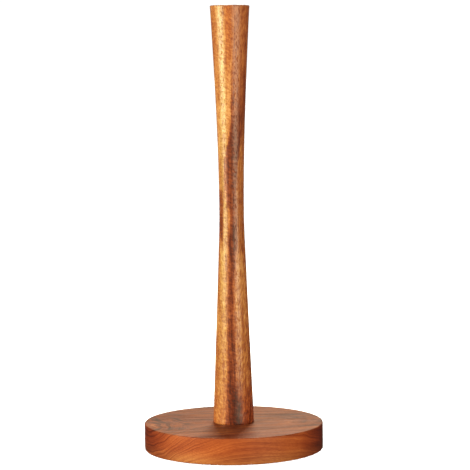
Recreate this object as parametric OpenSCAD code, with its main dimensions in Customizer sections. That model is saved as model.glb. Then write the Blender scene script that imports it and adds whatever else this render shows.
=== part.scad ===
// Free-standing holder for a roll of kitchen paper: a round wooden base and an hourglass post.
// The post's tenon sits in the base, and one bolt from below holds the two together.
// Z = 0 is the surface that the foot pads stand on, and the post's axis is the Z axis.

/* [Base] */
// Diameter of the round base
base_d = 150; // [130:1:200]
// Thickness of the base's wood
base_t = 22; // [19:0.5:30]
// Radius that eases the base's two rims
base_ease = 1; // [0.4:0.1:2]

/* [Post] */
// Height of the post above the base's top face
post_h = 348; // [280:1:400]
// Diameter of the foot
foot_d = 34.4; // [30:0.2:37]
// Diameter of the waist
waist_d = 20.6; // [19:0.1:26]
// Diameter of the top
top_d = 32.8; // [28:0.2:37]
// Height of the waist above the base's top face
waist_h = 177; // [120:1:220]
// How slowly the lower taper leaves the waist
lower_sweep = 0.08; // [0.02:0.01:1]
// How slowly the upper taper leaves the waist
upper_sweep = 0.62; // [0.02:0.01:1]
// Radius that eases the edges of the foot and the top
post_ease = 1; // [0.6:0.1:1.5]

/* [Seat and tenon] */
// Depth of the shallow seat that the foot stands in
seat_depth = 0.4; // [0.2:0.1:0.5]
// Gap between the foot and the seat's wall
seat_gap = 0.3; // [0.1:0.1:0.5]
// Diameter of the tenon below the foot
tenon_d = 20; // [19:0.5:24]
// Length of the tenon
tenon_l = 5; // [3:0.5:5.5]
// Clearance around and below the tenon
tenon_gap = 0.1; // [0.05:0.05:0.2]

/* [Bolted joint] */
// Length of the bolt under its head
bolt_l = 30; // [26:1:34]
// Diameter of the clearance hole for the bolt
bolt_hole_d = 9; // [8.5:0.1:10]
// Diameter of the counterbore in the underside
counterbore_d = 20; // [18:0.5:24]
// Depth of the counterbore
counterbore_depth = 8.5; // [8:0.1:9]
// Length of the threaded insert
insert_l = 18; // [14:1:22]

/* [Foot pads] */
// Diameter of a foot pad
pad_d = 14; // [10:1:18]
// Thickness of a foot pad
pad_t = 1.5; // [1:0.5:3]
// Distance from the base's edge to the middle of a pad
pad_inset = 16; // [12:1:25]

/* [Hidden] */

$fn = 96;
overcut = 1;
taper_steps = 32;
arc_steps = 6;
pad_count = 4;
pad_ease = 0.3;

// M8 hardware
bolt_d = 8;
bolt_chamfer = 0.8;
head_d = 14;
head_h = 4.4;
head_rim_h = 1;
key_af = 5;
key_depth = 2.6;
flat_washer_d = 16;
flat_washer_hole_d = 8.4;
flat_washer_t = 1.6;
spring_washer_d = 14.8;
spring_washer_hole_d = 8.2;
spring_washer_t = 2;
split_w = 1.2;
split_tilt = 25;
insert_flange_d = 15.5;
insert_flange_t = 1.2;
insert_core_d = 10.5;
insert_crest_d = 12;
insert_pitch = 2.8;
insert_key_af = 8.4;
insert_key_depth = 5;
bore_room = 3;

// Heights of the joint's faces, upwards from the surface that the holder stands on
underside_z = pad_t;
base_top_z = underside_z + base_t;
post_top_z = base_top_z + post_h;
seat_z = base_top_z - seat_depth;
tenon_z = seat_z - tenon_l;
socket_z = tenon_z - tenon_gap;
counterbore_z = underside_z + counterbore_depth;
flat_washer_z = counterbore_z - flat_washer_t;
spring_washer_z = flat_washer_z - spring_washer_t;
bolt_tip_z = spring_washer_z + bolt_l;
insert_end_z = tenon_z + insert_l;
bore_end_z = max(insert_end_z, bolt_tip_z) + bore_room;

// Points of a quarter turn of radius r about [x, z], from angle a to angle b
function arc(x, z, r, a, b) =
    [for (i = [0:arc_steps]) let (t = a + (b - a) * i / arc_steps) [x + r * cos(t), z + r * sin(t)]];

// A taper that leaves the waist gently and then runs straight: 0 at t = 0 and 1 at t = 1
function taper(t, sweep) = (sqrt(t * t + sweep * sweep) - sweep) / (sqrt(1 + sweep * sweep) - sweep);

// Radius of the post at height h above the base's top face
function post_r(h) =
    h < waist_h
    ? (waist_d + (foot_d - waist_d) * taper(1 - h / waist_h, lower_sweep)) / 2
    : (waist_d + (top_d - waist_d) * taper((h - waist_h) / (post_h - waist_h), upper_sweep)) / 2;

// Six-sided recess for a key, across flats af, from z upwards
module key_recess(af, z, depth) {
    translate([0, 0, z]) cylinder(d = af / cos(30), h = depth, $fn = 6);
}

module ring(outer_d, inner_d, z, h) {
    difference() {
        translate([0, 0, z]) cylinder(d = outer_d, h = h);
        translate([0, 0, z - overcut]) cylinder(d = inner_d, h = h + 2 * overcut);
    }
}

// Outside of the insert: a flange, and coarse ridges that bite into the wood
module insert_outline() {
    ridges = floor((insert_l - insert_flange_t) / insert_pitch);
    ridge_z = tenon_z + insert_flange_t;
    rotate_extrude() polygon(concat(
        [[0, tenon_z], [insert_flange_d / 2, tenon_z], [insert_flange_d / 2, ridge_z]],
        [for (i = [0:ridges - 1], p = [[insert_core_d, 0], [insert_crest_d, 0.5]])
            [p[0] / 2, ridge_z + (i + p[1]) * insert_pitch]],
        [[insert_core_d / 2, insert_end_z], [0, insert_end_z]]
    ));
}

module base() {
    r = base_d / 2;
    e = base_ease;
    color([0.66, 0.36, 0.19]) difference() {
        rotate_extrude() polygon(concat(
            [[0, underside_z]],
            arc(r - e, underside_z + e, e, -90, 0),
            arc(r - e, base_top_z - e, e, 0, 90),
            [[0, base_top_z]]
        ));
        translate([0, 0, seat_z]) cylinder(d = foot_d + 2 * seat_gap, h = seat_depth + overcut);
        translate([0, 0, socket_z]) cylinder(d = tenon_d + 2 * tenon_gap, h = base_t);
        translate([0, 0, underside_z]) cylinder(d = bolt_hole_d, h = base_t);
        translate([0, 0, underside_z - overcut]) cylinder(d = counterbore_d, h = counterbore_depth + overcut);
    }
}

module post() {
    e = post_ease;
    foot_r = post_r(0);
    top_r = post_r(post_h);
    side_bottom = e - seat_depth;
    side_h = post_h - e - side_bottom;
    color([0.72, 0.42, 0.17]) difference() {
        rotate_extrude() polygon(concat(
            [[0, tenon_z], [tenon_d / 2, tenon_z], [tenon_d / 2, seat_z]],
            arc(foot_r - e, seat_z + e, e, -90, 0),
            [for (i = [1:taper_steps - 1]) let (h = side_bottom + side_h * i / taper_steps)
                [post_r(h), base_top_z + h]],
            arc(top_r - e, post_top_z - e, e, 0, 90),
            [[0, post_top_z]]
        ));
        insert_outline();
        translate([0, 0, tenon_z]) cylinder(d = insert_core_d, h = bore_end_z - tenon_z);
    }
}

module threaded_insert() {
    color("darkkhaki") difference() {
        insert_outline();
        translate([0, 0, tenon_z - overcut]) cylinder(d = bolt_d, h = insert_l + 2 * overcut);
        key_recess(insert_key_af, tenon_z - overcut, insert_key_depth + overcut);
    }
}

module bolt() {
    r = bolt_d / 2;
    head_r = head_d / 2;
    head_z = spring_washer_z - head_h;
    dome_h = head_h - head_rim_h;
    face_r = key_af * 0.8;
    color("silver") difference() {
        rotate_extrude() polygon(concat(
            [[0, head_z], [face_r, head_z]],
            [for (i = [1:arc_steps]) let (t = 90 * i / arc_steps)
                [face_r + (head_r - face_r) * sin(t), head_z + dome_h * (1 - cos(t))]],
            [[head_r, spring_washer_z], [r, spring_washer_z], [r, bolt_tip_z - bolt_chamfer]],
            [[r - bolt_chamfer, bolt_tip_z], [0, bolt_tip_z]]
        ));
        key_recess(key_af, head_z - overcut, key_depth + overcut);
    }
}

module spring_washer() {
    color("gray") difference() {
        ring(spring_washer_d, spring_washer_hole_d, spring_washer_z, spring_washer_t);
        translate([spring_washer_d / 2, 0, spring_washer_z + spring_washer_t / 2])
            rotate([split_tilt, 0, 0])
            cube([spring_washer_d, split_w, 4 * spring_washer_t], center = true);
    }
}

module flat_washer() {
    color("silver") ring(flat_washer_d, flat_washer_hole_d, flat_washer_z, flat_washer_t);
}

// Pad number i, counted round the base
module foot_pad(i) {
    r = pad_d / 2;
    e = pad_ease;
    color("dimgray") rotate([0, 0, 360 / pad_count * (i - 0.5)])
        translate([base_d / 2 - pad_inset, 0, 0])
        rotate_extrude() polygon(concat([[0, 0]], arc(r - e, e, e, -90, 0), [[r, pad_t], [0, pad_t]]));
}

base();
post();
threaded_insert();
bolt();
spring_washer();
flat_washer();
for (i = [1:pad_count])
    foot_pad(i);
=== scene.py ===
"""The looks of a paper towel holder: a turned hourglass post on a round base, both of oiled hardwood.

Lengths are in metres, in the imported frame. Shader lengths are in millimetres, because that is the
scale of wood figure. The post's grain runs up the post and the base's grain runs across the disc.
"""
import math

import bmesh
import bpy
from mathutils import Matrix, Vector, noise


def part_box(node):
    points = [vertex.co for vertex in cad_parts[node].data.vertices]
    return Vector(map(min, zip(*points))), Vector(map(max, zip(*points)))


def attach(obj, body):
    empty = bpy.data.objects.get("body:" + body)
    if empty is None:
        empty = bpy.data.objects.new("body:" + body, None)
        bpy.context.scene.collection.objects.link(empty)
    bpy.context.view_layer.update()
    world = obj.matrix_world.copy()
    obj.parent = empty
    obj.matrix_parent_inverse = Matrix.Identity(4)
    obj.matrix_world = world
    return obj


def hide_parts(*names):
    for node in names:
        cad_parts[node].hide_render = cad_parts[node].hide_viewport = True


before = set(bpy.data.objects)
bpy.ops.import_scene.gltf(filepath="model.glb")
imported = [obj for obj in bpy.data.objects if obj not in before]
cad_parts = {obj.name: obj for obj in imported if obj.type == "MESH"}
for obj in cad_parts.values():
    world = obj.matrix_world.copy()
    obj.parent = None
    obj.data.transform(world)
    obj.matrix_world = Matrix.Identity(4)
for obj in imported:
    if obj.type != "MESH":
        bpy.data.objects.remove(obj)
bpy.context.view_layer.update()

MM = 0.001
PER_METRE = 1000

# ---------------------------------------------------------------- sizes

BASE_LOW, BASE_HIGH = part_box("base")
POST_LOW, POST_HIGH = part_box("post")
BASE_R = BASE_HIGH.x
UNDERSIDE_Z = BASE_LOW.z
BASE_TOP_Z = BASE_HIGH.z
FOOT_R = POST_HIGH.x
TENON_Z = POST_LOW.z
POST_TOP_Z = POST_HIGH.z
POST_H = POST_TOP_Z - BASE_TOP_Z

BASE_EASE = 1.0 * MM
POST_EASE = 1.0 * MM
WAIST_R = 10.3 * MM
TOP_R = 16.4 * MM
WAIST_H = 177 * MM
LOWER_SWEEP = 0.08
UPPER_SWEEP = 0.62

SEAT_Z = BASE_TOP_Z - 0.4 * MM
SEAT_R = FOOT_R + 0.3 * MM
TENON_R = 10.0 * MM
SOCKET_R = 10.1 * MM
SOCKET_Z = TENON_Z - 0.1 * MM
BOLT_HOLE_R = 4.5 * MM
COUNTERBORE_R = 10.0 * MM
COUNTERBORE_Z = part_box("flat_washer")[1].z

INSERT_LOW, INSERT_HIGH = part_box("threaded_insert")
INSERT_FLANGE_R = INSERT_HIGH.x
INSERT_FLANGE_Z = INSERT_LOW.z + 1.2 * MM
INSERT_CREST_R = 6.0 * MM
INSERT_CORE_R = 5.25 * MM
INSERT_PITCH = 2.8 * MM
INSERT_KEY = 8.4 * MM
INSERT_KEY_DEPTH = 5 * MM
POST_BORE_Z = INSERT_HIGH.z + 4 * MM

BOLT_LOW, BOLT_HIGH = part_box("bolt")
BOLT_HEAD_R = BOLT_HIGH.x
BOLT_NECK_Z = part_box("spring_washer")[0].z
BOLT_R = 4.0 * MM
BOLT_FACE_R = 4.0 * MM
BOLT_RIM_H = 1.0 * MM
BOLT_KEY = 5.0 * MM
BOLT_KEY_DEPTH = 2.6 * MM
THREAD_DEPTH = 0.62 * MM
THREAD_PITCH = 1.25 * MM
THREAD_GAP = 0.05 * MM
LEVELS_PER_PITCH = 10

MESH_STEP = 2.2 * MM
SHARP_EDGE = math.radians(35)

# ---------------------------------------------------------------- meshes


def turns(count):
    """Angles spread evenly round a whole turn."""
    return [2 * math.pi * i / count for i in range(count)]


def polar(r, angle, z):
    return Vector((r * math.cos(angle), r * math.sin(angle), z))


def arc(r, z, radius, start, end, steps=8):
    """Points (r, z) along an arc about (r, z), from angle start to angle end in degrees."""
    angles = [math.radians(start + (end - start) * i / steps) for i in range(steps + 1)]
    return [(r + radius * math.cos(t), z + radius * math.sin(t)) for t in angles]


def dense(profile, step):
    """The profile with points added, so that no two are further apart than step."""
    points = [profile[0]]
    for (r0, z0), (r1, z1) in zip(profile, profile[1:]):
        count = max(1, math.ceil(math.hypot(r1 - r0, z1 - z0) / step))
        points += [(r0 + (r1 - r0) * i / count, z0 + (z1 - z0) * i / count) for i in range(1, count + 1)]
    return points


def circle(r, z, count):
    """A ring of points round the Z axis, or one point where r is 0."""
    if r <= 0:
        return [Vector((0, 0, z))]
    return [polar(r, t, z) for t in turns(count)]


def hexagon(across_flats, z, count):
    """A ring of points on a hexagon, with points on its corners when count is a multiple of 6."""
    ring = []
    for t in turns(count):
        off_flat = (t % (math.pi / 3)) - math.pi / 6
        ring.append(polar(across_flats / 2 / math.cos(off_flat), t, z))
    return ring


def thread(angle, z, pitch):
    """How far a thread stands up at an angle and a height: 1 on its flat crest, 0 on its flat root."""
    phase = (z / pitch - angle / (2 * math.pi)) % 1
    return min(1, max(0, 1.25 - abs(phase * 2 - 1) * 1.5))


def thread_ring(z, root, depth, pitch, count, fade=1.0):
    """A ring of points round a thread. fade makes it shallower, where it runs out."""
    return [polar(root + depth * fade * thread(t, z, pitch), t, z) for t in turns(count)]


def new_object(name, data):
    thing = bpy.data.objects.new(name, data)
    bpy.context.scene.collection.objects.link(thing)
    return thing


def skin(name, rings, looped=False):
    """A mesh object through rings of points. A ring of one point is a pole, and end rings get a face."""
    bm = bmesh.new()
    rows = [[bm.verts.new(p) for p in ring] for ring in rings]
    pairs = list(zip(rows, rows[1:]))
    if looped:
        pairs.append((rows[-1], rows[0]))
    for low, high in pairs:
        count = max(len(low), len(high))
        for i in range(count):
            j = (i + 1) % count
            corners = [low[i % len(low)], low[j % len(low)], high[j % len(high)], high[i % len(high)]]
            bm.faces.new(list(dict.fromkeys(corners)))
    if not looped:
        for row in (rows[0], rows[-1]):
            if len(row) > 1:
                bm.faces.new(row)
    bmesh.ops.recalc_face_normals(bm, faces=bm.faces)
    mesh = bpy.data.meshes.new(name)
    bm.to_mesh(mesh)
    bm.free()
    mesh.shade_smooth()
    mesh.set_sharp_from_angle(angle=SHARP_EDGE)
    return new_object(name, mesh)


def lathe(name, profile, count, looped=False):
    """A turned mesh from its profile, a list of (r, z)."""
    return skin(name, [circle(r, z, count) for r, z in profile], looped)


def hand_finish(piece, depth, length, keep_below):
    """Moves the outside in by a smooth noise, as sanding by hand leaves it. Points up to keep_below stay."""
    mesh = piece.data
    normals = [v.normal.copy() for v in mesh.vertices]
    for v, n in zip(mesh.vertices, normals):
        if v.co.z > keep_below:
            v.co -= n * depth * (0.5 + 0.5 * noise.noise(v.co / length))
    mesh.update()


def install(piece, nodes, material):
    """The piece stands for CAD nodes, which it hides, rides on the one body and takes the material it is
    given.
    """
    piece.data.materials.append(material)
    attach(piece, "root")
    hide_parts(*nodes)
    return piece


# ---------------------------------------------------------------- shader graph


class Graph:
    """The nodes of a material or a world. A node is given numbers, tuples and other nodes' outputs."""

    def __init__(self, owner):
        owner.use_nodes = True
        self.owner = owner
        self.tree = owner.node_tree
        self.tree.nodes.clear()

    def node(self, kind, inputs=None, **settings):
        made = self.tree.nodes.new(kind)
        for key, value in settings.items():
            setattr(made, key, value)
        for key, value in (inputs or {}).items():
            if isinstance(value, bpy.types.NodeSocket):
                self.tree.links.new(value, made.inputs[key])
            else:
                made.inputs[key].default_value = value
        return made

    def math(self, operation, *values):
        return self.node("ShaderNodeMath", dict(enumerate(values)), operation=operation).outputs[0]

    def add(self, *values):
        total = values[0]
        for value in values[1:]:
            total = self.math("ADD", total, value)
        return total

    def times(self, *values):
        product = values[0]
        for value in values[1:]:
            product = self.math("MULTIPLY", product, value)
        return product

    def rest(self, share):
        """What a share leaves of 1."""
        return self.math("SUBTRACT", 1.0, share)

    def vector(self, operation, *values):
        return self.node("ShaderNodeVectorMath", dict(enumerate(values)), operation=operation).outputs

    def dot(self, vector, axis):
        return self.vector("DOT_PRODUCT", vector, tuple(axis))["Value"]

    def joined(self, x, y, z):
        return self.node("ShaderNodeCombineXYZ", {0: x, 1: y, 2: z}).outputs[0]

    def parts(self, vector):
        return self.node("ShaderNodeSeparateXYZ", {0: vector}).outputs[:]

    def step(self, value, low, high):
        """0 below low, 1 above high, and smooth between. low may be above high."""
        inputs = {"Value": value, "From Min": low, "From Max": high}
        return self.node("ShaderNodeMapRange", inputs, interpolation_type="SMOOTHSTEP").outputs[0]

    def spread(self, value, low, high, to_low, to_high):
        """to_low at low, to_high at high, straight between, and level beyond."""
        inputs = {"Value": value, "From Min": low, "From Max": high, "To Min": to_low, "To Max": to_high}
        return self.node("ShaderNodeMapRange", inputs).outputs[0]

    def blend(self, share, a, b):
        """The number a where share is 0 and b where it is 1."""
        return self.node("ShaderNodeMix", {0: share, 2: a, 3: b}).outputs[0]

    def mix(self, share, a, b):
        """The colour a where share is 0 and b where it is 1."""
        inputs = {0: share, 6: a, 7: b}
        return self.node("ShaderNodeMix", inputs, data_type="RGBA").outputs[2]

    def tinted(self, share, colour, tint):
        """The colour, multiplied by the tint as far as share says."""
        return self.mix(share, colour, self.vector("MULTIPLY", colour, tint)[0])

    def ramp(self, value, stops):
        made = self.node("ShaderNodeValToRGB", {0: value})
        elements = made.color_ramp.elements
        while len(elements) < len(stops):
            elements.new(0.5)
        for element, (place, colour) in zip(elements, stops):
            element.position = place
            element.color = (*colour, 1)
        return made.outputs[0]

    def curve(self, value, points, low=0.0, high=1.0):
        """A smooth curve through given points (value, result), for results from low to high."""
        made = self.node("ShaderNodeFloatCurve", {"Value": value})
        line = made.mapping.curves[0]
        while len(line.points) < len(points):
            line.points.new(0.5, 0.5)
        for point, (place, result) in zip(line.points, points):
            point.location = (place, (result - low) / (high - low))
        made.mapping.update()
        return self.spread(made.outputs[0], 0.0, 1.0, low, high)

    def cells(self, place, sizes, seed, shift):
        """The place counted in cells of the sizes given in millimetres, and moved by seed times shift."""
        stretch = tuple(1 / s for s in sizes)
        return self.vector("MULTIPLY_ADD", place, stretch, tuple(seed * s for s in shift))[0]

    def noise(self, place, sizes, seed, detail=2.0, distortion=0.0):
        """Noise from -1 to 1. sizes are its lengths in millimetres along the place's three axes."""
        moved = self.cells(place, sizes, seed, (7.31, 3.17, 5.93))
        inputs = {"Vector": moved, "Scale": 1.0, "Detail": detail, "Distortion": distortion}
        value = self.node("ShaderNodeTexNoise", inputs).outputs[0]
        return self.spread(value, 0.25, 0.75, -1.0, 1.0)

    def dashes(self, place, sizes, seed, width):
        """1 inside short dashes, one to a cell of the sizes given, and 0 outside them."""
        moved = self.cells(place, sizes, seed, (2.71, 4.43, 6.17))
        cells = self.node("ShaderNodeTexVoronoi", {"Vector": moved, "Scale": 1.0})
        return self.step(cells.outputs["Distance"], width, width * 0.4)

    def bump(self, height, distance, strength=1.0):
        inputs = {"Strength": strength, "Distance": distance, "Height": height}
        return self.node("ShaderNodeBump", inputs).outputs[0]

    def surface(self, inputs):
        shader = self.node("ShaderNodeBsdfPrincipled", inputs)
        self.node("ShaderNodeOutputMaterial", {0: shader.outputs[0]})
        return self.owner


def material_graph(name):
    return Graph(bpy.data.materials.new(name))


# ---------------------------------------------------------------- wood

WOOD_TONES = [
    (0.00, (0.050, 0.008, 0.003)),
    (0.25, (0.170, 0.031, 0.008)),
    (0.45, (0.330, 0.076, 0.018)),
    (0.62, (0.500, 0.145, 0.032)),
    (0.80, (0.680, 0.250, 0.055)),
    (1.00, (0.860, 0.400, 0.110)),
]
RED_TINT = (0.98, 0.70, 0.62)
# The gold tint is partly the sapwood's own colour and partly a painted highlight: the yellow of the key
# light's reflection on the post's front left.
GOLD_HIGHLIGHT_TINT = (1.0, 1.39, 1.36)
PORE_TINT = (0.70, 0.52, 0.38)

# Lacquer over wood gives back warm light, because the fibres under it shine too.
GLOSS_TINT = (1.0, 0.88, 0.60, 1.0)


def grain_place(g, across, through, along):
    """The shaded point in millimetres, on axes that follow the board: across, through and along the grain."""
    point = g.node("ShaderNodeTexCoord").outputs["Object"]
    parts = [g.times(g.dot(point, axis), PER_METRE) for axis in (across, through, along)]
    return g.joined(*parts), parts


def end_grain(g, along):
    """1 on faces cut across the grain, 0 on faces that run along it."""
    normal = g.node("ShaderNodeNewGeometry").outputs["Normal"]
    facing = g.math("ABSOLUTE", g.dot(normal, along))
    return g.step(facing, 0.55, 1.0)


def ring_place(g, parts, pith):
    """A place that follows the growth rings: distance from the pith, across, and along the grain."""
    x, y, z = parts
    off_x, off_y = g.add(x, -pith[0]), g.add(y, -pith[1])
    reach = g.math("SQRT", g.add(g.times(off_x, off_x), g.times(off_y, off_y)))
    return g.joined(reach, g.add(off_x, off_y), z)


def leaning(g, parts, lean):
    """A place whose grain leans to the right by lean millimetres in each millimetre upwards."""
    x, y, z = parts
    return g.joined(g.add(x, g.times(z, -lean)), y, z)


def wood_surface(g, place, tone, red, gold_and_highlight, ends, roughness, figure, ior):
    """Fibres, pores and finish, the same for every board.

    tone is a place on WOOD_TONES, red and gold are shares of those tints, ends is 1 on end grain, and
    figure is how strongly the board is flecked and rippled. The gold tint is partly the sapwood's own colour
    and partly a painted highlight.
    """
    fibres = g.noise(place, (0.7, 0.7, 7.0), 11, detail=3.0)
    pores = g.dashes(place, (1.1, 1.1, 3.0), 12, 0.40)
    flecks = g.dashes(place, (1.7, 1.7, 5.5), 13, 0.37)
    curl = g.noise(place, (9, 9, 6.0), 15, detail=1.0)
    open_grain = g.times(g.math("MAXIMUM", pores, flecks), figure)
    fibre_tone = g.times(fibres, 0.05 + 0.05 * figure)
    tone = g.add(tone, fibre_tone, g.times(curl, 0.05 * figure), g.times(ends, -0.28))
    colour = g.tinted(red, g.ramp(tone, WOOD_TONES), RED_TINT)
    colour = g.tinted(gold_and_highlight, colour, GOLD_HIGHLIGHT_TINT)
    height = g.add(g.times(fibres, 0.06), g.times(pores, -0.15 * figure), g.times(curl, 1.0 * figure))
    return g.surface({
        "Base Color": g.tinted(open_grain, colour, PORE_TINT),
        "Roughness": g.add(roughness, g.times(fibres, 0.03), g.times(open_grain, 0.35), g.times(ends, 0.12)),
        "Normal": g.bump(height, 0.06 * MM),
        "IOR": ior,
        "Specular Tint": GLOSS_TINT,
    })


# The post's wood against the height on it, from the foot at 0 to the top at 1. The edges of the dark band are
# in millimetres right of the axis, within EDGE_RANGE, and the tones are places on WOOD_TONES.
EDGE_RANGE = (-10, 20)
HEART_LEFT = [
    (0.0, -6.8), (0.05, -5.3), (0.14, -4.1), (0.22, -3.4), (0.30, -3.0), (0.42, -2.9), (0.50, -1.6),
    (0.54, -4.2), (0.60, -5.0), (0.65, -3.5), (0.70, -1.2), (0.76, 0.4), (0.84, 1.6), (0.92, 1.6),
    (1.0, -2.5),
]
HEART_RIGHT = [
    (0.0, 7.5), (0.07, 4.8), (0.14, 1.8), (0.22, 1.5), (0.30, 1.4), (0.38, 1.7), (0.45, 3.4),
    (0.52, 3.0), (0.60, 4.4), (0.68, 7.4), (0.76, 10.4), (0.84, 14.4), (1.0, 19.0),
]
LEFT_TONE = [
    (0.0, 0.69), (0.07, 0.71), (0.15, 0.74), (0.22, 0.79), (0.30, 0.80), (0.37, 0.76), (0.45, 0.73),
    (0.54, 0.71), (0.60, 0.76), (0.68, 0.81), (0.75, 0.84), (0.83, 0.82), (0.90, 0.77), (1.0, 0.76),
]
# HEART_TONE and RIGHT_TONE fall steeply at the foot: partly the wood's own colour and partly painted shade
# where the post stands in the base.
HEART_TONE = [
    (0.0, 0.10), (0.05, 0.17), (0.15, 0.25), (0.22, 0.27), (0.30, 0.28), (0.37, 0.26), (0.45, 0.23),
    (0.52, 0.33), (0.60, 0.33), (0.68, 0.33), (0.75, 0.45), (0.83, 0.60), (0.90, 0.64), (1.0, 0.64),
]
RIGHT_TONE = [
    (0.0, 0.34), (0.07, 0.54), (0.15, 0.65), (0.22, 0.70), (0.30, 0.78), (0.37, 0.77), (0.45, 0.62),
    (0.52, 0.61), (0.60, 0.65), (0.68, 0.61), (0.75, 0.57), (1.0, 0.54),
]
RIM_TONE = 0.42

# How far the post's grain leans to the right in each millimetre upwards, and where its pith lies, in
# millimetres right of the axis and behind it.
POST_LEAN = 0.004
POST_PITH = (46, 12)


def post_wood():
    """Golden sapwood, its gold on the front left partly a painted highlight, with a dark heartwood band that
    climbs from the foot's middle to the right of the top.

    x is to the right of the axis, y behind it and z up, in millimetres. height is 0 at the foot and 1 at the
    top, and side is -1 at the post's left edge and 1 at its right.
    """
    g = material_graph("post_wood")
    along = Vector((POST_LEAN, 0, 1)).normalized()
    place, parts = grain_place(g, (1, 0, 0), (0, 1, 0), along)
    x, y, z = parts
    height = g.spread(z, BASE_TOP_Z / MM, POST_TOP_Z / MM, 0.0, 1.0)
    side = g.math("DIVIDE", x, g.math("SQRT", g.add(g.times(x, x), g.times(y, y), 0.01)))

    # The band has ragged edges, softer on the lower post, and it widens towards the back.
    behind = g.add(y, 12.0)
    ragged_left = g.add(
        g.times(g.noise(place, (6, 6, 34), 1), 0.8),
        g.times(g.noise(place, (1.8, 1.8, 16), 2), 0.9),
        g.times(behind, 0.12),
    )
    ragged_right = g.add(
        g.times(g.noise(place, (6, 6, 40), 3), 0.9),
        g.times(g.noise(place, (1.8, 1.8, 18), 4), 1.0),
        g.times(behind, -0.10),
    )
    past_left = g.math("SUBTRACT", g.add(x, ragged_left), g.curve(height, HEART_LEFT, *EDGE_RANGE))
    past_right = g.math("SUBTRACT", g.add(x, ragged_right), g.curve(height, HEART_RIGHT, *EDGE_RANGE))
    soft = g.spread(height, 0.35, 0.60, 1.0, 0.0)
    leaves_sap = g.step(past_left, g.add(-1.2, g.times(soft, -1.6)), g.add(0.9, g.times(soft, 1.4)))
    leaves_heart = g.step(past_right, g.add(-0.9, g.times(soft, -1.5)), g.add(1.1, g.times(soft, 1.5)))
    heart = g.times(leaves_sap, g.rest(leaves_heart))
    tone = g.blend(leaves_sap, g.curve(height, LEFT_TONE), g.curve(height, HEART_TONE))
    tone = g.blend(leaves_heart, tone, g.curve(height, RIGHT_TONE))

    # A second patch of heartwood shows at the waist's left edge. The right edge is darker throughout: partly
    # a dark streak in the wood and partly painted shade along that edge.
    at_waist = g.times(g.step(height, 0.40, 0.47), g.step(height, 0.57, 0.53))
    rim = g.times(g.step(side, -0.62, -0.78), at_waist)
    tone = g.add(g.blend(rim, tone, RIM_TONE), g.times(g.step(side, 0.66, 0.98), -0.10))

    to_right = g.step(x, 1.0, 6.0)
    low_right = g.times(to_right, g.step(height, 0.12, 0.03))
    rings = ring_place(g, parts, POST_PITH)
    strokes = g.noise(leaning(g, parts, 0.32), (1.5, 1.5, 10), 7)
    hatch = g.noise(leaning(g, parts, -0.9), (2.6, 2.6, 2.0), 8, detail=1.0)
    whorl = g.noise(place, (2.6, 2.6, 4.5), 9, distortion=1.2)
    streaks = g.add(
        g.times(g.noise(place, (5, 5, 90), 5), 0.07),
        g.times(g.noise(rings, (1.2, 9, 28), 6, detail=3.0), 0.16),
        g.times(strokes, to_right, g.spread(height, 0.3, 0.5, 0.22, 0.13)),
        g.times(hatch, g.rest(to_right), 0.15),
        g.times(whorl, low_right, 0.16),
    )

    # The sapwood is golden at the front left, more so higher up and more at the front than the back: partly
    # its own colour and partly a painted highlight, the yellow of the key light's reflection there. It is
    # redder beside that near the top.
    sap = g.rest(g.math("MAXIMUM", heart, rim))
    upper = g.step(height, 0.60, 0.85)
    gold_highlight_left = g.step(side, g.add(-1.0, g.times(upper, 0.2)), g.add(-0.65, g.times(upper, 0.1)))
    gold_highlight_place = g.times(gold_highlight_left, g.step(side, -0.18, -0.45))
    gold_highlight_share = g.times(g.spread(height, 0.0, 0.5, 0.15, 1.0), g.spread(y, -4.0, 8.0, 1.0, 0.3))
    gold_and_highlight = g.times(gold_highlight_place, sap, gold_highlight_share)
    crown = g.times(sap, g.step(side, -0.4, -0.1), g.step(height, 0.78, 0.95))
    tone = g.add(tone, g.times(crown, -0.12))
    red = g.add(g.times(heart, 0.35), g.times(low_right, 0.6), g.times(crown, 0.5))
    roughness = g.add(0.26, g.times(heart, 0.08))
    return wood_surface(
        g, place, g.add(tone, streaks), red, gold_and_highlight, end_grain(g, along), roughness, figure=1.0, ior=1.52)


# The base's tone against the place along its grain, from the left edge at 0 to the right edge at 1.
BASE_TONE = [
    (0.0, 0.56), (0.04, 0.64), (0.09, 0.70), (0.20, 0.68), (0.35, 0.62), (0.45, 0.57), (0.65, 0.57),
    (0.78, 0.55), (0.86, 0.49), (0.93, 0.44), (1.0, 0.38),
]
BASE_TOP_TONE = 0.32
# The front strip of the top face is lighter and redder as painted light: the colour stands in for the weaker
# sheen on the front of the top.
BASE_PAINTED_FRONT_TONE = 0.40

# How far the base's grain is turned from X, and where its pith lies, in millimetres behind the axis and above
# the table.
BASE_TURN = math.radians(8)
BASE_PITH = (-3, 130)


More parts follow.
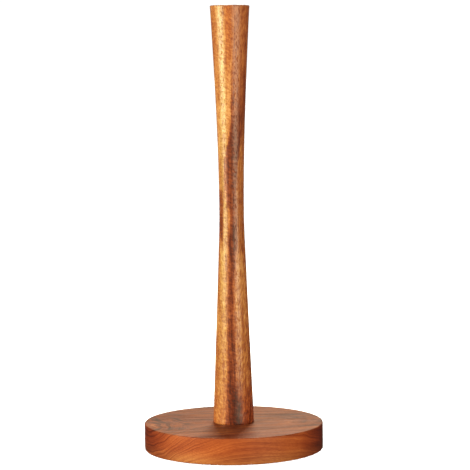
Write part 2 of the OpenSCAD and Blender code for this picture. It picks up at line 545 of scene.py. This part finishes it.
def base_wood():
    """Red-brown board: growth rings arch through its thickness, and its grain runs across the disc.

    x is across the grain, towards the back, y is up and z is along the grain, to the right, in millimetres.
    """
    g = material_graph("base_wood")
    along = Vector((math.cos(BASE_TURN), math.sin(BASE_TURN), 0))
    across = Vector((-math.sin(BASE_TURN), math.cos(BASE_TURN), 0))
    place, parts = grain_place(g, across, (0, 0, 1), along)
    x, y, z = parts
    length = g.spread(z, -BASE_R / MM, BASE_R / MM, 0.0, 1.0)
    face = g.step(y, BASE_TOP_Z / MM - 1.0, BASE_TOP_Z / MM - 0.2)
    painted_front_strip = g.step(x, -40.0, -62.0)

    # The pith is high above the board. The rings climb to the right, and steeply at the left end.
    swirl = g.add(
        g.times(g.noise(place, (34, 34, 90), 1), 2.2),
        g.times(g.noise(place, (10, 10, 50), 2), 0.5),
    )
    climb = g.add(g.times(g.step(z, -74.0, -38.0), -8.0), g.times(z, -0.08))
    rings = ring_place(g, [g.add(x, swirl), g.add(y, swirl, climb), z], BASE_PITH)
    growth = g.add(
        g.times(g.noise(rings, (2.6, 60, 220), 3, detail=1.0), 0.09),
        g.times(g.noise(rings, (0.8, 40, 120), 4), 0.07),
        g.times(g.noise(rings, (0.5, 14, 34), 10), 0.10),
    )
    broad = g.times(g.noise(place, (30, 14, 60), 5, detail=1.0), 0.05)
    lower = g.times(g.step(y, 15.0, 4.0), g.step(length, 0.62, 0.30))
    dark_rings = g.step(g.noise(rings, (1.6, 60, 90), 6, detail=0.0), 0.30, 0.75)
    dark = g.times(dark_rings, g.step(length, 0.30, 0.18))
    mottle = g.add(
        g.times(g.noise(place, (7, 7, 44), 7), 0.09),
        g.times(g.noise(place, (2.2, 2.2, 22), 8), 0.07),
    )
    # Painted reflection: the top face's front strip is lighter and redder, in place of the weaker sheen it
    # shows.
    face_tone = g.spread(painted_front_strip, 0.0, 1.0, BASE_TOP_TONE, BASE_PAINTED_FRONT_TONE)
    tone = g.blend(face, g.curve(length, BASE_TONE), face_tone)
    tone = g.add(tone, growth, broad, g.times(mottle, face), g.times(lower, 0.05), g.times(dark, -0.18))
    red = g.blend(face, g.step(y, 2.0, 14.0), g.times(painted_front_strip, 0.7))
    sanding = g.times(g.noise(place, (6, 6, 34), 9), 0.10)
    roughness = g.add(0.40, g.times(face, g.add(sanding, 0.17)))
    return wood_surface(g, place, tone, red, 0.0, end_grain(g, along), roughness, figure=0.30, ior=1.32)


# ---------------------------------------------------------------- other materials


def millimetres(g):
    """The shaded point, in millimetres."""
    point = g.node("ShaderNodeTexCoord").outputs["Object"]
    return g.vector("MULTIPLY", point, (PER_METRE, PER_METRE, PER_METRE))[0]


def metal(name, colour, roughness):
    """Turned metal with fine rings and a patchy tarnish."""
    g = material_graph(name)
    place = millimetres(g)
    turned = g.noise(place, (3.0, 3.0, 0.12), 1)
    stain = g.noise(place, (2.5, 2.5, 2.5), 2, detail=4.0)
    darker = tuple(c * 0.62 for c in colour)
    return g.surface({
        "Base Color": g.mix(g.spread(stain, -1.0, 1.0, 0.0, 1.0), (*colour, 1), (*darker, 1)),
        "Metallic": 1.0,
        "Roughness": g.add(roughness, g.times(turned, 0.05), g.times(stain, 0.05)),
        "Normal": g.bump(turned, 0.02 * MM, strength=0.3),
    })


def rubber():
    """Matt black cellular rubber with a little dust."""
    g = material_graph("pad_rubber")
    place = millimetres(g)
    cells = g.noise(place, (0.25, 0.25, 0.25), 1, detail=3.0)
    dust = g.spread(g.noise(place, (3.5, 3.5, 3.5), 2, detail=3.0), -1.0, 1.0, 0.0, 1.0)
    return g.surface({
        "Base Color": g.ramp(dust, [(0.3, (0.018, 0.018, 0.019)), (0.8, (0.05, 0.048, 0.046))]),
        "Roughness": g.add(0.78, g.times(cells, 0.08)),
        "Normal": g.bump(cells, 0.05 * MM, strength=0.6),
    })


# ---------------------------------------------------------------- pieces


def taper(t, sweep):
    """A taper that leaves the waist gently and then runs straight: 0 at t = 0 and 1 at t = 1."""
    return (math.hypot(t, sweep) - sweep) / (math.hypot(1, sweep) - sweep)


def post_radius(h):
    """Radius of the post at height h above the base's top face."""
    if h < WAIST_H:
        return WAIST_R + (FOOT_R - WAIST_R) * taper(1 - h / WAIST_H, LOWER_SWEEP)
    return WAIST_R + (TOP_R - WAIST_R) * taper((h - WAIST_H) / (POST_H - WAIST_H), UPPER_SWEEP)


def turned_post():
    side_low = POST_EASE - (BASE_TOP_Z - SEAT_Z)
    side_high = POST_H - POST_EASE
    count = 170
    heights = [side_low + (side_high - side_low) * i / count for i in range(1, count)]
    profile = [
        (0, POST_BORE_Z),
        (INSERT_CORE_R, POST_BORE_Z),
        (INSERT_CORE_R, INSERT_HIGH.z),
        (INSERT_CREST_R, INSERT_HIGH.z),
        (INSERT_CREST_R, INSERT_FLANGE_Z),
        (INSERT_FLANGE_R, INSERT_FLANGE_Z),
        (INSERT_FLANGE_R, TENON_Z),
        (TENON_R, TENON_Z),
        (TENON_R, SEAT_Z),
        *arc(post_radius(0) - POST_EASE, SEAT_Z + POST_EASE, POST_EASE, -90, 0),
        *[(post_radius(h), BASE_TOP_Z + h) for h in heights],
        *arc(post_radius(POST_H) - POST_EASE, POST_TOP_Z - POST_EASE, POST_EASE, 0, 90),
        (0, POST_TOP_Z),
    ]
    piece = lathe("turned_post", dense(profile, MESH_STEP), count=144)
    hand_finish(piece, depth=0.07 * MM, length=14 * MM, keep_below=BASE_TOP_Z)
    return install(piece, ["post"], post_wood())


def turned_base():
    profile = [
        (BOLT_HOLE_R, COUNTERBORE_Z),
        (COUNTERBORE_R, COUNTERBORE_Z),
        (COUNTERBORE_R, UNDERSIDE_Z),
        *arc(BASE_R - BASE_EASE, UNDERSIDE_Z + BASE_EASE, BASE_EASE, -90, 0),
        *arc(BASE_R - BASE_EASE, BASE_TOP_Z - BASE_EASE, BASE_EASE, 0, 90),
        (SEAT_R, BASE_TOP_Z),
        (SEAT_R, SEAT_Z),
        (SOCKET_R, SEAT_Z),
        (SOCKET_R, SOCKET_Z),
        (BOLT_HOLE_R, SOCKET_Z),
    ]
    points = dense([*profile, profile[0]], MESH_STEP)[:-1]
    piece = lathe("turned_base", points, count=256, looped=True)
    hand_finish(piece, depth=0.06 * MM, length=24 * MM, keep_below=UNDERSIDE_Z + 0.2 * MM)
    return install(piece, ["base"], base_wood())


def button_bolt(material):
    """A button-head bolt, its head down, with a hexagon socket and a thread that runs out at both ends."""
    count = 48
    head_z = BOLT_LOW.z
    socket_z = head_z + BOLT_KEY_DEPTH
    dome_h = BOLT_NECK_Z - head_z - BOLT_RIM_H
    dome_w = BOLT_HEAD_R - BOLT_FACE_R
    rim_ease = 0.15 * MM
    root = BOLT_R - THREAD_DEPTH
    rings = [
        circle(0, socket_z + 0.8 * MM, count),
        hexagon(BOLT_KEY * 0.98, socket_z, count),
        hexagon(BOLT_KEY, head_z + 0.25 * MM, count),
        hexagon(BOLT_KEY + 0.4 * MM, head_z, count),
        circle(BOLT_FACE_R, head_z, count),
    ]
    for degrees in range(9, 91, 9):
        t = math.radians(degrees)
        rings.append(circle(BOLT_FACE_R + dome_w * math.sin(t), head_z + dome_h * (1 - math.cos(t)), count))
    rings.append(circle(BOLT_HEAD_R, BOLT_NECK_Z - rim_ease, count))
    rings.append(circle(BOLT_HEAD_R - rim_ease, BOLT_NECK_Z, count))
    rings.append(circle(root, BOLT_NECK_Z, count))
    tip_z = BOLT_HIGH.z - 0.8 * MM
    levels = int((tip_z - BOLT_NECK_Z) / THREAD_PITCH * LEVELS_PER_PITCH)
    for i in range(1, levels + 1):
        z = BOLT_NECK_Z + (tip_z - BOLT_NECK_Z) * i / levels
        fade = min(1, (z - BOLT_NECK_Z) / (2 * MM), (tip_z - z) / (1 * MM) + 0.1)
        rings.append(thread_ring(z, root, THREAD_DEPTH, THREAD_PITCH, count, fade))
    rings.append(circle(root - 0.3 * MM, BOLT_HIGH.z, count))
    rings.append(circle(0, BOLT_HIGH.z, count))
    return install(skin("button_bolt", rings), ["bolt"], material)


def insert_sleeve(material):
    """A flanged sleeve with a coarse outer thread, the bolt's thread inside and a hexagon socket below it."""
    count = 60
    low, high = INSERT_LOW.z, INSERT_HIGH.z
    depth = (INSERT_CREST_R - INSERT_CORE_R) * 0.97
    flange_ease = 0.3 * MM
    rings = [
        hexagon(INSERT_KEY, low, count),
        circle(INSERT_FLANGE_R - flange_ease, low, count),
        circle(INSERT_FLANGE_R, low + flange_ease, count),
        circle(INSERT_FLANGE_R, INSERT_FLANGE_Z, count),
        circle(INSERT_CORE_R, INSERT_FLANGE_Z, count),
    ]
    levels = 72
    for i in range(1, levels):
        z = INSERT_FLANGE_Z + (high - INSERT_FLANGE_Z) * i / levels
        fade = min(1, (z - INSERT_FLANGE_Z) / (1.5 * MM), (high - z) / (2.5 * MM))
        rings.append(thread_ring(z, INSERT_CORE_R, depth, INSERT_PITCH, count, fade))
    rings.append(circle(INSERT_CORE_R - 0.2 * MM, high, count))
    root = BOLT_R - THREAD_DEPTH + THREAD_GAP
    key_end = low + INSERT_KEY_DEPTH
    levels = int((high - key_end) / THREAD_PITCH * LEVELS_PER_PITCH)
    for i in range(levels + 1):
        z = high - (high - key_end) * i / levels
        rings.append(thread_ring(z, root, THREAD_DEPTH, THREAD_PITCH, count))
    rings.append(hexagon(INSERT_KEY, key_end, count))
    piece = skin("insert_sleeve", rings, looped=True)
    return install(piece, ["threaded_insert"], material)


def lock_washer(material):
    """A spring washer pressed flat: a square section swept almost a whole turn, with slanted ends."""
    low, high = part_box("spring_washer")
    outer, inner = 7.4 * MM, 4.1 * MM
    ease = 0.15 * MM
    section = [
        (inner + ease, low.z), (outer - ease, low.z), (outer, low.z + ease), (outer, high.z - ease),
        (outer - ease, high.z), (inner + ease, high.z), (inner, high.z - ease), (inner, low.z + ease),
    ]
    gap, slant = math.radians(10), math.radians(7)
    steps = 64
    rings = []
    for i in range(steps + 1):
        t = gap / 2 + (2 * math.pi - gap) * i / steps
        leans = [slant * ((z - low.z) / (high.z - low.z) - 0.5) for r, z in section]
        rings.append([polar(r, t + lean, z) for (r, z), lean in zip(section, leans)])
    return install(skin("lock_washer", rings), ["spring_washer"], material)


def plain_washer(material):
    """A stamped washer: rounded on the punched side, sharp on the other."""
    low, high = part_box("flat_washer")
    outer, inner = high.x, 4.2 * MM
    ease = 0.35 * MM
    profile = [
        (inner, high.z), (outer, high.z),
        *arc(outer - ease, low.z + ease, ease, 0, -90, 4),
        *arc(inner + ease, low.z + ease, ease, -90, -180, 4),
    ]
    piece = lathe("plain_washer", profile, count=96, looped=True)
    return install(piece, ["flat_washer"], material)


def round_pad(number, material):
    """A stick-on pad with a shallow moulded groove in the face that stands on the table."""
    low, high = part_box(f"foot_pad_{number}")
    middle = (low + high) / 2
    r, top = (high.x - low.x) / 2, high.z
    ease = 0.3 * MM
    groove_r, groove_w, groove_d = r * 0.62, 0.5 * MM, 0.25 * MM
    profile = [
        (0, 0), (groove_r - groove_w, 0), (groove_r - groove_w / 2, groove_d),
        (groove_r + groove_w / 2, groove_d), (groove_r + groove_w, 0),
        *arc(r - ease, ease, ease, -90, 0, 5),
        (r, top), (0, top),
    ]
    piece = lathe(f"round_pad_{number}", dense(profile, 1.2 * MM), count=72)
    piece.data.transform(Matrix.Translation((middle.x, middle.y, 0)))
    return install(piece, [f"foot_pad_{number}"], material)


# ---------------------------------------------------------------- studio

BACKDROP_LIGHT = 1.05
WALL_LIGHT = 0.80
ROOM_LIGHT = 0.10
FLOOR_REACH = 30.0
FLOOR_LIGHT = 4.2

# How far the camera looks down and how far it is rolled are in degrees.
LENS_MM = 150
CAMERA_PLACE = (0.0026, -1.6275, 0.3285)
CAMERA_DOWN = 5.18
CAMERA_ROLL = -0.57


def softbox(name, azimuth, distance, height, size, power, target_z=0.19, colour=(1, 1, 1)):
    """A rectangular lamp. Azimuth is counted from the camera's side, positive to the left of the picture."""
    lamp = bpy.data.lights.new(name, "AREA")
    lamp.shape = "RECTANGLE"
    lamp.size, lamp.size_y = size
    lamp.energy = power
    lamp.color = colour
    thing = new_object(name, lamp)
    a = math.radians(azimuth)
    place = (-distance * math.sin(a), -distance * math.cos(a), height)
    thing.location = place
    to_target = Vector((0, 0, target_z)) - Vector(place)
    thing.rotation_euler = to_target.to_track_quat("-Z", "Y").to_euler()


def floor():
    """A pale floor that the wood neither mirrors nor takes bounced light from."""
    mesh = bpy.data.meshes.new("floor")
    reach = FLOOR_REACH
    corners = [(-reach, -reach, 0), (reach, -reach, 0), (reach, reach, 0), (-reach, reach, 0)]
    mesh.from_pydata(corners, [], [(0, 1, 2, 3)])
    paint = material_graph("floor_paint").surface({"Base Color": (0.9, 0.9, 0.9, 1), "Roughness": 0.9})
    mesh.materials.append(paint)
    thing = new_object("floor", mesh)
    thing.visible_glossy = False
    thing.visible_diffuse = False
    return thing


def floor_lamp(stage):
    """An even light without shadows, which falls on the floor only."""
    light = bpy.data.lights.new("floor_light", "SUN")
    light.energy = FLOOR_LIGHT
    light.use_shadow = False
    above = new_object("floor_light", light)
    only_floor = bpy.data.collections.new("only_floor")
    only_floor.objects.link(stage)
    above.light_linking.receiver_collection = only_floor


def studio_world():
    """White to the camera, and to all else a dim room with a pale wall behind and right of the object."""
    g = Graph(bpy.data.worlds.new("studio"))
    direction = g.node("ShaderNodeTexCoord").outputs["Generated"]
    right, back, up = g.parts(direction)
    turned = g.math("DIVIDE", right, g.math("MAXIMUM", back, 0.01))
    wide = g.times(g.step(turned, -0.12, 0.12), g.step(turned, 0.8, 0.5))
    high = g.times(g.step(up, 0.08, 0.18), g.step(up, 0.75, 0.35))
    wall = g.times(g.times(wide, high), g.times(g.step(back, 0.1, 0.3), WALL_LIGHT))
    room = g.node("ShaderNodeBackground", {"Strength": g.add(wall, ROOM_LIGHT)})
    seen = g.node("ShaderNodeBackground", {"Color": (1, 1, 1, 1), "Strength": BACKDROP_LIGHT})
    path = g.node("ShaderNodeLightPath")
    inputs = {0: path.outputs["Is Camera Ray"], 1: room.outputs[0], 2: seen.outputs[0]}
    g.node("ShaderNodeOutputWorld", {0: g.node("ShaderNodeMixShader", inputs).outputs[0]})
    bpy.context.scene.world = g.owner


def studio():
    bpy.context.scene.view_settings.view_transform = "Standard"
    studio_world()
    stage = floor()
    softbox("key", azimuth=60, distance=1.3, height=0.42, size=(0.88, 0.62), power=20)
    softbox("fill", azimuth=-38, distance=1.5, height=0.36, size=(1.1, 0.72), power=17.5)
    softbox("back", azimuth=184, distance=0.8, height=0.9, size=(0.3, 0.3), power=12.5,
            target_z=0.02, colour=(1.0, 0.96, 0.72))
    floor_lamp(stage)


def camera():
    """The photograph's view: a long lens a little below the post's top, looking slightly down."""
    lens = bpy.data.cameras.new("camera")
    lens.lens = LENS_MM
    lens.sensor_width = 36
    lens.clip_end = 100
    thing = new_object("camera", lens)
    thing.location = CAMERA_PLACE
    pitch, roll = math.radians(90 - CAMERA_DOWN), math.radians(CAMERA_ROLL)
    thing.rotation_euler = (Matrix.Rotation(pitch, 3, "X") @ Matrix.Rotation(roll, 3, "Z")).to_euler()
    bpy.context.scene.camera = thing


# ---------------------------------------------------------------- all together

camera()
turned_base()
turned_post()
steel = metal("zinc_steel", (0.62, 0.62, 0.64), 0.32)
button_bolt(steel)
lock_washer(metal("spring_steel", (0.42, 0.42, 0.44), 0.38))
plain_washer(steel)
insert_sleeve(metal("insert_brass", (0.78, 0.56, 0.25), 0.34))
pads = rubber()
for number in range(1, 5):
    round_pad(number, pads)
studio()
